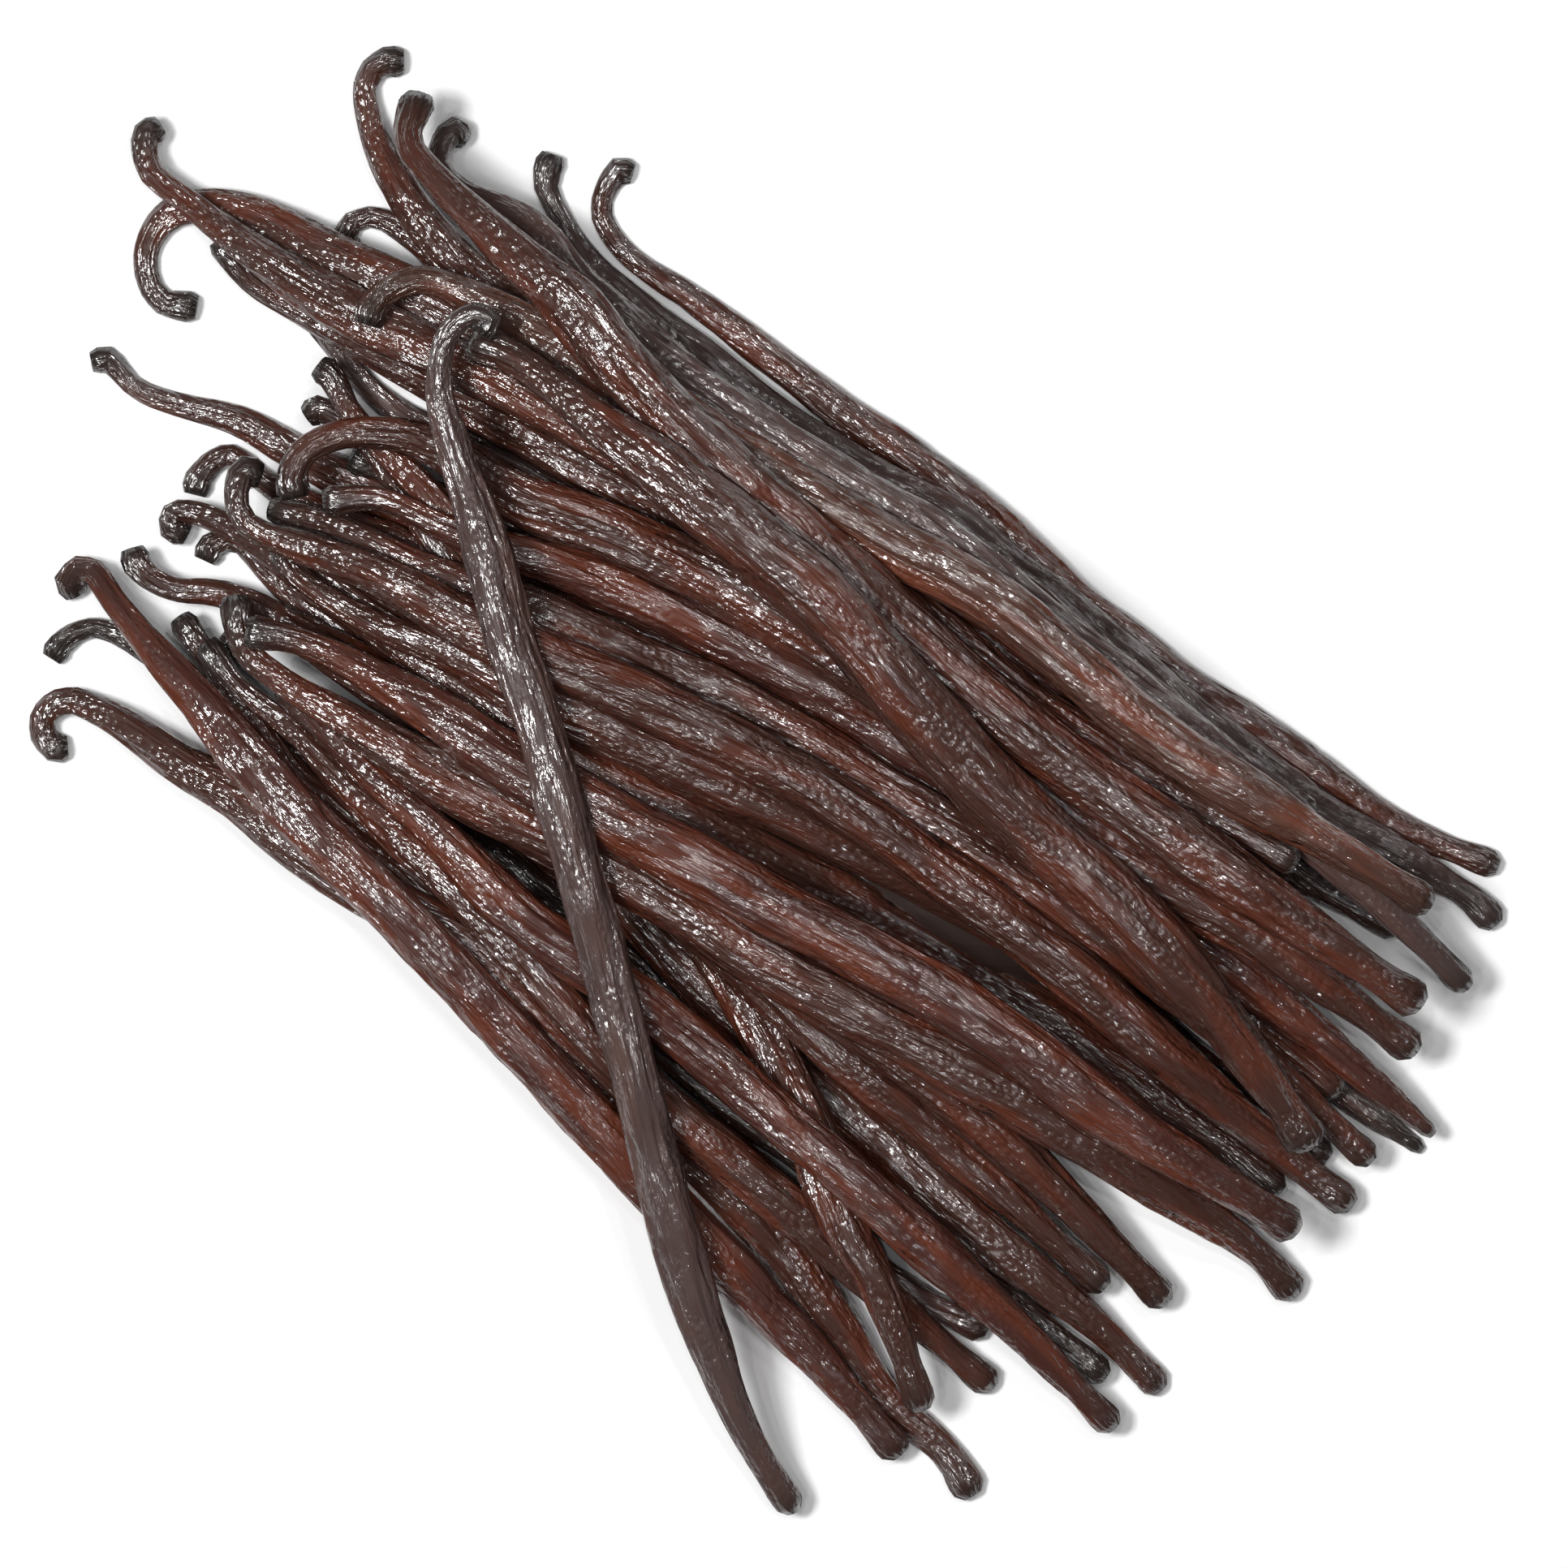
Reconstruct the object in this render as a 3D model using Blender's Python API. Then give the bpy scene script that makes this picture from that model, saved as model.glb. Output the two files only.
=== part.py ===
"""A loose bundle of cured vanilla pods lying in a heap on a flat surface, as one solid.

Every pod is a swept tube with a flattened section. The pods are laid one after another, from the lowest
to the topmost, and each one rests on those already there. A low mound fills the middle of the heap, and
all of it is joined into one body with a flat underside. Units are metres and +Z is up.
"""

import math

import bmesh
import bpy
import numpy as np
from mathutils import Matrix, Vector

MM = 0.001

# Driving sizes, in millimetres.
FLATNESS = 0.72  # thickness of a pod over its width
PRESS = 0.80  # share of full thickness left where one pod presses on another
SETTLE = 0.4  # how far the heap sinks, which flattens the undersides that touch the table
CREST_RADIUS = 60.0  # tightest bend of a pod over the one that holds it up
SAG_RADIUS = 80.0  # tightest bend of a pod that droops between two supports
ROUTE_STEPS = 72  # samples along one pod
SPAN_SAMPLES = 24  # samples between two given points, before they are spaced evenly
SECTION_SIDES = 8
TIP_LENGTH = 3.0  # the cut tip is a little flared
NECK_LENGTH = 10.0  # the thin curled neck below the tip
SHOULDER_LENGTH = 34.0  # where the pod has reached its full width
FOOT_TAPER = 30.0  # where the pod starts to narrow towards its foot
FOOT_LENGTH = 4.0  # the blunt foot keeps one width
NECK_SHARE = 0.50
TIP_SHARE = 0.60
FOOT_SHARE = 0.56
MOUND_CENTRE = (10.0, 5.0)
MOUND_HALF_LENGTH = 52.0
MOUND_HALF_BREADTH = 27.0
MOUND_HEIGHT = 9.0
MOUND_TURN = -39.0  # degrees, along the lie of the heap
MOUND_DETAIL = 4  # times that the mound's triangles are halved
VOXEL = 1.5  # grain of the joined surface
MOST_TRIANGLES = 9000
CUTTER_SIDE = 400.0
CUTTER_HEIGHT = 100.0
ORIGIN = (-0.2, 0.4)  # middle of the outline, which becomes the origin

# One row a pod, from the lowest to the topmost: full width, then the points that its middle line passes,
# from the curled tip to the foot.
PODS = (
    (5.6, ((-17.2, 75.3), (-18.6, 76), (-21.2, 71), (-18.6, 66), (-10, 59.8), (0, 52.3), (10, 44.6),
           (20, 37.6), (43.4, 17.4), (68.8, 0.2), (78.5, -5.8), (89.3, -10.2))),
    (6.0, ((-27, 77.6), (-28, 74), (-26.2, 70), (-23, 65), (-18.2, 60), (-10, 53), (0, 44.9),
           (10, 38.6), (20, 33.4), (35, 21.8), (50, 9.5), (65, -2), (80, -10.5), (86.5, -14.5), (89, -17.3))),
    (6.0, ((-68, 18.2), (-45, 2), (-25, -9.5), (0, -21), (25, -32), (45, -43.5), (62, -53))),
    (5.8, ((-60, 8.5), (-38, -6.8), (-28, -14.3), (-14, -25.3), (0, -37.5), (22, -57.5), (34, -66.5))),
    (5.6, ((-83.9, 52), (-82, 52.5), (-78.5, 48.8), (-73, 46.8), (-66, 44.9), (-58.5, 40.6), (-40, 31.5),
           (-20, 21), (0, 9), (25, -8), (50, -27))),
    (6.0, ((-88.8, 15.5), (-87.4, 17.6), (-84, 19.4), (-79.5, 18), (-72, 12.5), (-60, 4), (-30, -19),
           (0, -42), (20, -57), (41, -72.8))),
    (6.0, ((-34.2, 65.2), (-33.3, 61.5), (-29, 57), (-5, 42), (15, 30), (35, 15), (66, -11.5),
           (77.2, -17.8))),
    (5.8, ((-52, 65.6), (-52.7, 68.2), (-50.8, 69.8), (-48.4, 69.8), (-43.3, 66.4), (-38, 61.8),
           (-20, 49), (0, 37), (25, 21), (68, -8))),
    (6.4, ((-45.4, 89.1), (-48.2, 88.9), (-50.2, 86.6), (-48.7, 78.8), (-43.5, 70), (-35.5, 61.3),
           (-22, 54), (-2, 42), (25, 26), (40, 14.5), (66, -4))),
    (6.0, ((-37.9, 79.6), (-38.9, 80.9), (-40.3, 79.5), (-41.2, 76.5), (-39.5, 73.8), (-30, 68.8),
           (-23, 60), (-10, 49.2), (0, 42.3), (10, 36.2), (20, 30.4), (31, 21.5), (45, 10.5), (60, -1.5),
           (74, -14), (85.3, -24.8))),
    (6.2, ((-52, 40.2), (-43, 36.7), (-30, 30), (-15, 22), (5, 9), (30, -8), (65, -34), (80, -45))),
    (6.2, ((-71.2, 35.7), (-70.6, 38), (-67, 40.8), (-62.8, 37.5), (-57, 34), (-45, 28.8), (-30, 22.8),
           (-15, 16.5), (10.5, 4.5), (27, -5.5), (55, -26), (69.7, -37.8))),
    (6.0, ((-56.3, 58), (-54.8, 55.5), (-52, 51.3), (-46, 45.8), (-34, 39.3), (-8, 25), (30, 2),
           (72, -24))),
    (6.0, ((-72.8, 20.6), (-69.5, 15.8), (-64.5, 8.5), (-57, -1), (-43.5, -12), (-28, -26.5),
           (-14, -39), (0, -50), (14, -60.5), (26.4, -67.3))),
    (6.6, ((-86.8, 4.6), (-88.1, 4), (-90.2, 7.6), (-87.4, 10.5), (-82.4, 9), (-73, 3), (-65, -1.7),
           (-53, -11), (-39, -19), (-27, -29), (-10.4, -44.9), (0, -55.3), (6.5, -64.7), (14.6, -76.3),
           (21, -82), (24.7, -87.5))),
    (6.0, ((-69.5, 17.5), (-66, 12.7), (-57.8, 6), (-49.5, -2.5), (-37, -13.6), (-24, -28.5),
           (-12, -40.5), (2.1, -52), (16, -64.5), (27, -74.2))),
    (6.2, ((-57.2, 45.2), (-56.4, 46.4), (-54.3, 45.4), (-51, 43.2), (-42, 31), (-32, 14), (-24, 0),
           (-19, -12.5), (-7.5, -25.8), (8, -39), (25, -54.5), (41, -67.5), (47.7, -74.6))),
    (6.4, ((-55.8, 51.4), (-54.2, 50.2), (-51.5, 45.3), (-40, 33), (-30, 18), (-20, 2), (-6, -21.5),
           (-0.6, -31), (4.2, -41), (8.2, -52.8), (13, -61.5), (18.4, -76.6))),
    (6.6, ((-85.8, 23.4), (-86.7, 25.4), (-84.2, 26.9), (-80.8, 22.6), (-76.3, 17.2), (-68, 7.8),
           (-58, -3.6), (-44.5, -17.3), (-30, -32.5), (-18, -45.5), (-8, -56.5), (6.3, -71.4),
           (15.8, -82.3))),
    (6.4, ((-70.9, 58.6), (-75.7, 59.9), (-77.2, 65.5), (-73.8, 70.5), (-66.5, 70.7), (-56, 65.8),
           (-44, 60), (-20, 46), (0, 33), (25, 17), (45, 2))),
    (6.0, ((-68.2, 67), (-64.4, 61.9), (-57, 57.6), (-42, 49.7), (-21, 37.7), (0, 25), (15, 16),
           (35, 3), (55, -11))),
    (6.4, ((-75.4, 81), (-77, 80.4), (-76.8, 75.8), (-71.5, 71.3), (-62, 64.2), (-50, 57), (-31, 48),
           (-14, 38.5), (10, 25.8), (31, 9.7), (45, 1), (64, -9.7))),
    (6.2, ((-70, 27.6), (-68.8, 29.8), (-66, 30.2), (-61.5, 25.5), (-50, 16), (-40, 8.5), (-25, -4),
           (-10, -16.5), (10.5, -34.8), (29.5, -51.2), (40.8, -61.8))),
    (6.4, ((-78.8, 29), (-78, 26.6), (-73.8, 24), (-68, 23.5), (-57, 18), (-48, 12.5), (-30, 0),
           (-10, -15), (10, -29), (30, -45), (42, -57), (48.4, -63.6))),
    (6.2, ((-72, 30.8), (-74, 31.8), (-74.2, 33.4), (-71.5, 33.6), (-65, 30.8), (-45, 17.5),
           (-27, 4.5), (-6, -6.3), (11, -15.2), (29, -25.7), (52, -42), (62.5, -50.2))),
    (6.0, ((-60, 29.3), (-58.5, 26), (-49.5, 20.1), (-39, 15.6), (-27, 9.5), (-2, -2), (19, -12),
           (35, -21.2), (50, -32.5), (68.3, -46.2))),
    (6.0, ((-61.6, 33.8), (-53, 31.5), (-41.6, 26), (-27, 20), (-2, 9), (14.5, -0.8), (31.3, -11.5),
           (60, -33.5), (73.5, -46.3))),
    (6.2, ((-55, 34.6), (-48, 34.9), (-40, 31.3), (-22, 25.3), (-9, 19.4), (10, 9.3), (30, -3.5),
           (55, -21.5), (73, -36), (81.2, -43))),
    (6.6, ((-62.6, 37.8), (-64.6, 38.6), (-65.6, 36), (-65, 32.8), (-62.4, 30.8), (-49.3, 26),
           (-35, 18.5), (-14.5, 9.8), (10.5, -3.8), (35, -21.5), (50, -34.5), (62, -44.5), (71.3, -51.8))),
    (6.2, ((-60, 12), (-51.5, 3.5), (-43.2, -4), (-30.7, -16), (-15.4, -27), (-2, -38.2),
           (14.6, -52.5), (31.3, -68), (42, -79))),
    (6.8, ((-65.6, 23), (-64.8, 17), (-60, 12.8), (-51.5, 7.8), (-39, 0), (-25, -7.3), (-12, -14.6),
           (-2, -21.2), (14.6, -30), (35, -41.5), (51.6, -51.8), (60, -58), (64.3, -62.8))),
    (7.4, ((-64.3, 18.8), (-57.8, 17.5), (-45.3, 11.3), (-30.5, 2), (-14.5, -6.9), (2.1, -16),
           (19, -24.8), (33, -34), (44, -42.2), (56, -49.3), (64.2, -54.4))),
    (7.2, ((-58.3, 35), (-58.8, 38), (-57.2, 40.8), (-54, 42.5), (-50, 43.2), (-42, 41.9), (-31, 35),
           (-20, 31), (-8, 25.3), (8, 15.8), (20, 7.5), (39.5, -7), (60, -19), (78.8, -32.7))),
    (7.0, ((-49.7, 56.2), (-48.6, 59), (-46, 61), (-42.5, 61.8), (-34, 58.2), (-20, 50.3), (-6, 41),
           (12, 30.5), (28, 21.5), (38, 13.2), (49, 4.2), (60, -2.5), (80.3, -14.8))),
    (7.6, ((-43.2, 84.4), (-44.7, 79), (-41, 74), (-33.6, 66.6), (-25.5, 59.3), (-17.5, 49.8),
           (-7, 39.5), (8, 26), (24, 12), (40, -0.5), (60, -14), (79.3, -26.8))),
    (8.6, ((-36.5, 54.2), (-31, 51.6), (-20.4, 43.4), (-5.5, 31.8), (8.4, 20), (16.7, 10.2), (25.9, 0),
           (42.3, -15), (51.6, -25), (59.5, -35), (66, -44.3))),
    (6.2, ((-35.6, 54.8), (-34.4, 55.9), (-35.4, 57.3), (-39.2, 55.4), (-40.5, 49), (-38.9, 41.5),
           (-34.9, 29.5), (-32.4, 20), (-26.3, 0), (-18.2, -30), (-10.4, -60), (-3, -80), (2.6, -89.2))),
)


def smooth_route(points, steps):
    """The middle line in plan, as evenly spaced points on a curve through the given ones."""
    knots = np.array(points, float)
    before = 2 * knots[0] - knots[1]
    after = 2 * knots[-1] - knots[-2]
    padded = np.vstack([before, knots, after])
    pieces = []
    for p0, p1, p2, p3 in zip(padded[:-3], padded[1:-2], padded[2:-1], padded[3:]):
        t1 = np.linalg.norm(p1 - p0) ** 0.5
        t2 = t1 + np.linalg.norm(p2 - p1) ** 0.5
        t3 = t2 + np.linalg.norm(p3 - p2) ** 0.5
        t = np.linspace(t1, t2, SPAN_SAMPLES, endpoint=False)[:, None]
        a1 = (t1 - t) / t1 * p0 + t / t1 * p1
        a2 = (t2 - t) / (t2 - t1) * p1 + (t - t1) / (t2 - t1) * p2
        a3 = (t3 - t) / (t3 - t2) * p2 + (t - t2) / (t3 - t2) * p3
        b1 = (t2 - t) / t2 * a1 + t / t2 * a2
        b2 = (t3 - t) / (t3 - t1) * a2 + (t - t1) / (t3 - t1) * a3
        pieces.append((t2 - t) / (t2 - t1) * b1 + (t - t1) / (t2 - t1) * b2)
    fine = np.vstack([*pieces, knots[-1:]])
    run = np.concatenate([[0.0], np.cumsum(np.linalg.norm(np.diff(fine, axis=0), axis=1))])
    even = np.linspace(0.0, run[-1], steps)
    return np.column_stack([np.interp(even, run, fine[:, axis]) for axis in (0, 1)]), even


def half_widths(run, width):
    """Half the pod's width at each distance along it."""
    length = run[-1]
    stops = (
        0.0,
        TIP_LENGTH,
        NECK_LENGTH,
        SHOULDER_LENGTH,
        length - FOOT_TAPER,
        length - FOOT_LENGTH,
        length,
    )
    shares = (TIP_SHARE, NECK_SHARE, NECK_SHARE, 1.0, 1.0, FOOT_SHARE, FOOT_SHARE)
    return np.interp(run, stops, shares) * width / 2


def taut_over(run, heights, sag):
    """The lowest line over the given heights that bends upwards no more tightly than the sag allows."""
    lowered = heights - run**2 / (2 * sag)
    kept = []
    for here in range(len(run)):
        while len(kept) > 1:
            a, b = kept[-2], kept[-1]
            rise_ab = (lowered[b] - lowered[a]) * (run[here] - run[a])
            rise_ah = (lowered[here] - lowered[a]) * (run[b] - run[a])
            if rise_ab > rise_ah:
                break
            kept.pop()
        kept.append(here)
    return np.interp(run, run[kept], lowered[kept]) + run**2 / (2 * sag)


def resting_heights(route, run, half_width, half_thick, laid):
    """The height of a pod's middle line where it rests on the table and on the pods already laid."""
    heights = half_thick.copy()
    for other in laid:
        apart = np.linalg.norm(route[:, None] - other["route"][None], axis=2)
        reach = half_width[:, None] + other["half_width"][None]
        share = np.clip(apart / reach, 0.0, 1.0)
        both = half_thick[:, None] + other["half_thick"][None]
        lift = other["z"][None] + PRESS * both * np.sqrt(1.0 - share**2)
        heights = np.maximum(heights, np.where(share < 1.0, lift, 0.0).max(axis=1))
    drop = (run[:, None] - run[None]) ** 2 / (2 * CREST_RADIUS)
    heights = (heights[None] - drop).max(axis=1)
    return taut_over(run, heights, SAG_RADIUS)


def lay_pods():
    """Every pod in order, each resting on those below it."""
    laid = []
    for width, points in PODS:
        route, run = smooth_route(points, ROUTE_STEPS)
        half_width = half_widths(run, width)
        half_thick = half_width * FLATNESS
        z = resting_heights(route, run, half_width, half_thick, laid)
        laid.append({"route": route, "half_width": half_width, "half_thick": half_thick, "z": z})
    return laid


def add_pod(bm, pod):
    """Sweeps one pod's flattened section along its middle line and closes both ends."""
    centres = np.column_stack([pod["route"], pod["z"] - SETTLE])
    along = np.gradient(centres, axis=0)
    along /= np.linalg.norm(along, axis=1)[:, None]
    side = np.cross(along, (0.0, 0.0, 1.0))
    side /= np.linalg.norm(side, axis=1)[:, None]
    up = np.cross(side, along)
    angles = [2 * math.pi * k / SECTION_SIDES for k in range(SECTION_SIDES)]
    rings = []
    for index, centre in enumerate(centres - (*ORIGIN, 0.0)):
        ring = []
        for angle in angles:
            across = side[index] * (math.cos(angle) * pod["half_width"][index])
            upwards = up[index] * (math.sin(angle) * pod["half_thick"][index])
            ring.append(bm.verts.new((centre + across + upwards) * MM))
        rings.append(ring)
    for near, far in zip(rings[:-1], rings[1:]):
        for k in range(SECTION_SIDES):
            following = (k + 1) % SECTION_SIDES
            bm.faces.new((near[k], far[k], far[following], near[following]))
    bm.faces.new(rings[0])
    bm.faces.new(rings[-1][::-1])


def add_mound(bm):
    """The filled middle of the heap."""
    place = Matrix.Translation(
        Vector((MOUND_CENTRE[0] - ORIGIN[0], MOUND_CENTRE[1] - ORIGIN[1], 0.0)) * MM
    )
    turn = Matrix.Rotation(math.radians(MOUND_TURN), 4, "Z")
    size = Matrix.Diagonal((MOUND_HALF_LENGTH * MM, MOUND_HALF_BREADTH * MM, MOUND_HEIGHT * MM, 1.0))
    bmesh.ops.create_icosphere(bm, subdivisions=MOUND_DETAIL, radius=1.0, matrix=place @ turn @ size)


def evaluated_mesh(obj):
    """The object's mesh with its modifiers applied."""
    graph = bpy.context.evaluated_depsgraph_get()
    return bpy.data.meshes.new_from_object(obj.evaluated_get(graph))


def replace_mesh(obj, mesh):
    """Gives the object its modified mesh and takes the modifiers off."""
    obj.modifiers.clear()
    obj.data = mesh


def keep_outer_shell(mesh):
    """Removes sealed hollows and loose crumbs, so that one shell is left."""
    bm = bmesh.new()
    bm.from_mesh(mesh)
    bm.verts.ensure_lookup_table()
    unseen = set(bm.verts)
    shells = []
    while unseen:
        start = unseen.pop()
        shell = {start}
        front = [start]
        while front:
            vert = front.pop()
            for edge in vert.link_edges:
                other = edge.other_vert(vert)
                if other not in shell:
                    shell.add(other)
                    front.append(other)
        unseen -= shell
        shells.append(shell)
    largest = max(shells, key=len)
    spare = [vert for shell in shells if shell is not largest for vert in shell]
    bmesh.ops.delete(bm, geom=spare, context="VERTS")
    bm.to_mesh(mesh)
    bm.free()


def space_above_table():
    """A box that stands on the table and holds the whole heap, to cut the underside flat with."""
    raised = Matrix.Translation((0.0, 0.0, CUTTER_HEIGHT * MM / 2))
    size = Matrix.Diagonal((CUTTER_SIDE * MM, CUTTER_SIDE * MM, CUTTER_HEIGHT * MM, 1.0))
    bm = bmesh.new()
    bmesh.ops.create_cube(bm, size=1.0, matrix=raised @ size)
    mesh = bpy.data.meshes.new("above_table")
    bm.to_mesh(mesh)
    bm.free()
    box = bpy.data.objects.new("above_table", mesh)
    bpy.context.scene.collection.objects.link(box)
    box.hide_render = True
    return box


def centre_outline(mesh):
    """Takes off what the joining has moved the outline by, so that its middle is the origin again."""
    lows = [min(vert.co[axis] for vert in mesh.vertices) for axis in (0, 1)]
    highs = [max(vert.co[axis] for vert in mesh.vertices) for axis in (0, 1)]
    middle = [(low + high) / 2 for low, high in zip(lows, highs)]
    mesh.transform(Matrix.Translation((-middle[0], -middle[1], 0.0)))


def leather_brown():
    """The dark cured skin of the pods."""
    material = bpy.data.materials.new("cured_pod_skin")
    material.use_nodes = True
    shader = material.node_tree.nodes["Principled BSDF"]
    shader.inputs["Base Color"].default_value = (0.035, 0.014, 0.008, 1.0)
    shader.inputs["Roughness"].default_value = 0.35
    return material


def build():
    """Joins the pods and the mound into one closed body with a flat underside."""
    bm = bmesh.new()
    for pod in lay_pods():
        add_pod(bm, pod)
    add_mound(bm)
    mesh = bpy.data.meshes.new("pod_bundle")
    bm.to_mesh(mesh)
    bm.free()
    heap = bpy.data.objects.new("pod_bundle", mesh)
    bpy.context.scene.collection.objects.link(heap)

    remesh = heap.modifiers.new("join", "REMESH")
    remesh.mode = "VOXEL"
    remesh.voxel_size = VOXEL * MM
    joined = evaluated_mesh(heap)
    keep_outer_shell(joined)
    replace_mesh(heap, joined)

    thin = heap.modifiers.new("thin", "DECIMATE")
    thin.ratio = MOST_TRIANGLES / (2.0 * len(joined.polygons))
    replace_mesh(heap, evaluated_mesh(heap))

    above = space_above_table()
    flat = heap.modifiers.new("flat_underside", "BOOLEAN")
    flat.operation = "INTERSECT"
    flat.solver = "EXACT"
    flat.object = above
    cut = evaluated_mesh(heap)
    keep_outer_shell(cut)
    replace_mesh(heap, cut)
    bpy.data.objects.remove(above)
    centre_outline(cut)
    cut.materials.clear()
    cut.materials.append(leather_brown())


for old in list(bpy.data.objects):
    bpy.data.objects.remove(old)
build()
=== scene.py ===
"""The looks of a loose bundle of cured vanilla pods that lies on a white surface, seen from above.

The CAD solid stands for the whole heap. Here it is replaced by the separate pods, each with its wrinkled
skin, curled dark tip and blunt foot, laid one on another in the same order, over a small hidden core.
"""

import logging
import math
from dataclasses import dataclass, field
from enum import Enum

import bmesh
import bpy
import numpy as np
from mathutils import Matrix, Vector, noise


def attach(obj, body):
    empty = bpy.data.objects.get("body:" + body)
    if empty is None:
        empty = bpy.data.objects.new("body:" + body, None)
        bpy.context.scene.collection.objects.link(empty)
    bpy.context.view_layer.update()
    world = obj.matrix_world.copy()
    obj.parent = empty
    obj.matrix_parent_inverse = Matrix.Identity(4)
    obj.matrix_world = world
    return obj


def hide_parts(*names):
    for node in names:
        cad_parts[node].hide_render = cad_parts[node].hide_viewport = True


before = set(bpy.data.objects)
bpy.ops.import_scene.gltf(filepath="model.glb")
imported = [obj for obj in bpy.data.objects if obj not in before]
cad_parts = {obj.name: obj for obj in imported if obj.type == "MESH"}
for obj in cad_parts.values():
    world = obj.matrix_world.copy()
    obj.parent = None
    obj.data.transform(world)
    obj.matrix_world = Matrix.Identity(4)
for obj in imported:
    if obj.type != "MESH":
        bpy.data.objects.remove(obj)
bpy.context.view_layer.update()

MM = 0.001
NODE = "pod_bundle"
BODY = "root"
ORIGIN = (-0.2, 0.4)  # middle of the outline, in the millimetres of the routes
MOST_PODS = 10  # in one piece
TABLE_GAP = 0.00005  # metres that the undersides stay off the table
log = logging.getLogger("vanilla")

Point = tuple[float, float]


def linear(srgb_hex: str) -> tuple[float, float, float, float]:
    """Turns an sRGB hex colour into the linear colour that shaders take.

    Args:
        srgb_hex: The colour as "#rrggbb".

    Returns:
        Red, green, blue and alpha, linear.
    """
    shares = [int(srgb_hex[k : k + 2], 16) / 255 for k in (1, 3, 5)]
    red, green, blue = (s / 12.92 if s <= 0.04045 else ((s + 0.055) / 1.055) ** 2.4 for s in shares)
    return red, green, blue, 1.0


class Tone(Enum):
    """How far the skin has darkened in curing, and what shines through it. The slate tone is a greyer skin
    whose colour also holds a painted grey-violet sheen.
    """

    UMBER = "umber"
    MAHOGANY = "mahogany"
    EBONY = "ebony"
    TAN = "tan"
    # Greyer skin, with a painted grey-violet sheen mixed into its colour.
    SLATE_SHEEN = "slate_sheen"


class Foot(Enum):
    """How the flower end of a pod is shaped."""

    KNOB = 0.66
    POINT = 0.34


@dataclass(frozen=True)
class SkinFinish:
    """The finish of one tone of pod skin.

    Args:
        base: Colour of most of the skin, sRGB hex.
        warm: Colour where the skin is stretched thin and smooth, sRGB hex.
        warm_share: About how much of the skin is warm, 0 to 1.
        satin: Roughness of the skin itself.
        oil: Share of the skin that an oily film covers, 0 to 1.
        oil_gloss: Roughness of the oily film.
        crease_mm: Depth of the fine lengthwise creases.
        bead_mm: Height of the pebbled beads, where there are any.
        bead_share: About how much of the skin is pebbled, 0 to 1.
    """

    base: str
    warm: str
    warm_share: float
    satin: float
    oil: float
    oil_gloss: float
    crease_mm: float
    bead_mm: float
    bead_share: float


FINISHES: dict[Tone, SkinFinish] = {
    Tone.UMBER: SkinFinish("#3f231b", "#54291b", 0.50, 0.50, 0.85, 0.11, 0.130, 0.055, 0.60),
    Tone.MAHOGANY: SkinFinish("#43231c", "#592a1a", 0.60, 0.50, 0.75, 0.11, 0.120, 0.050, 0.50),
    Tone.EBONY: SkinFinish("#2a1b16", "#3e241b", 0.35, 0.45, 0.90, 0.11, 0.120, 0.055, 0.50),
    Tone.TAN: SkinFinish("#4c3026", "#643626", 0.50, 0.50, 0.80, 0.12, 0.120, 0.050, 0.50),
    # Slate: greyer skin colours that also hold a painted grey-violet sheen.
    Tone.SLATE_SHEEN: SkinFinish("#4a3a37", "#523d38", 0.45, 0.42, 0.70, 0.13, 0.110, 0.050, 0.45),
}
TIP_COLOUR = "#1f1916"
# Where a pod's width changes, in millimetres from its tip, with the share of full width there.
HEAD_STOPS = (0.0, 2.0, 5.5, 12.0)
HEAD_SHARES = (0.62, 0.58, 0.46, 0.50)
FOOT_STOPS = (30.0, 6.0, 2.2, 0.0)  # from its foot
FOOT_NECK_SHARE = 0.54
HEIGHT_SPAN = 3.0  # a pattern uses about a third of its range from 0 to 1
GRAIN_MM = 0.050  # depth of the finest grain, which the oily film follows
OIL_IOR = 1.8
SKIN_SPECULAR = 0.22
# Cells of the skin's patterns, in millimetres round the pod and along it.
PATCH_CELL = (3.5, 22.0)
CREASE_CELL = (0.75, 9.0)
BEAD_CELL = (0.62, 1.0)
PEBBLED_CELL = (3.0, 10.0)
GRAIN_CELL = (0.32, 1.3)
WET_CELL = (1.1, 5.0)


@dataclass(frozen=True)
class Pod:
    """One pod: its full width, its tone and its middle line in plan, from curled tip to foot.

    Args:
        width: Full width of the body, in millimetres.
        tone: How dark its skin is.
        route: The points that the middle line passes.
        foot: How the flower end is shaped.
        shoulder: How far from the tip the body reaches its full width.
    """

    width: float
    tone: Tone
    route: tuple[Point, ...]
    foot: Foot = Foot.KNOB
    shoulder: float = 36.0


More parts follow.
